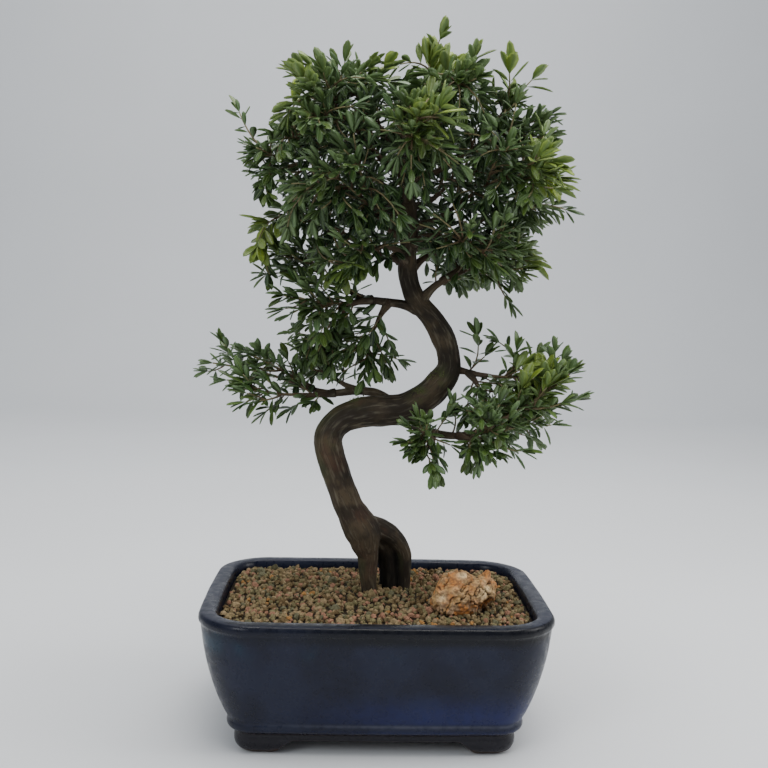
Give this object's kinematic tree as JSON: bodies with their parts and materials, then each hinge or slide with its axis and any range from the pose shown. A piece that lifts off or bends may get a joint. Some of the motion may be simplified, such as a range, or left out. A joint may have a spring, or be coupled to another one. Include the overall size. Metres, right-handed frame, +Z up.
{
  "type": "potted myrtle bonsai",
  "caption": "Compact myrtle bonsai with an S-shaped trunk and open leafy crown, in a footed rectangular pot with soil and an accent stone.",
  "frame": {"origin": "on the surface that the pot stands on, under the middle of the whole plant and pot", "axes": "+Z up, +X to the right along the pot's long side, +Y to the back"},
  "size_m": [0.2387, 0.165, 0.4116],
  "materials": {
    "blue_glaze": "glossy dark blue glaze",
    "soil": "granular clay and grit substrate",
    "stone": "rough ochre rock",
    "bark": "dull brown bark",
    "foliage": "glossy green leaves on thin green and red-brown twigs",
    "screen": "black plastic mesh"
  },
  "bodies": {
    "root": {"accent_stone": "stone", "crown_spray_01": "foliage", "crown_spray_02": "foliage", "crown_spray_03": "foliage", "crown_spray_04": "foliage", "crown_spray_05": "foliage", "crown_spray_06": "foliage", "crown_spray_07": "foliage", "crown_spray_08": "foliage", "crown_spray_09": "foliage", "crown_spray_10": "foliage", "crown_spray_11": "foliage", "crown_spray_12": "foliage", "crown_spray_13": "foliage", "crown_spray_14": "foliage", "crown_spray_15": "foliage", "drainage_screen_left": "screen", "drainage_screen_right": "screen", "left_pad_spray_1": "foliage", "left_pad_spray_2": "foliage", "left_pad_spray_3": "foliage", "left_pad_spray_4": "foliage", "mid_spray_1": "foliage", "mid_spray_2": "foliage", "mid_spray_3": "foliage", "mid_spray_4": "foliage", "pot": "blue_glaze", "right_low_spray_1": "foliage", "right_low_spray_2": "foliage", "right_pad_spray_1": "foliage", "right_pad_spray_2": "foliage", "right_pad_spray_3": "foliage", "right_pad_spray_4": "foliage", "right_pad_spray_5": "foliage", "right_pad_spray_6": "foliage", "soil": "soil", "trunk": "bark", "under_crown_spray_1": "foliage", "under_crown_spray_2": "foliage", "under_crown_spray_3": "foliage"}
  },
  "joints": []
}
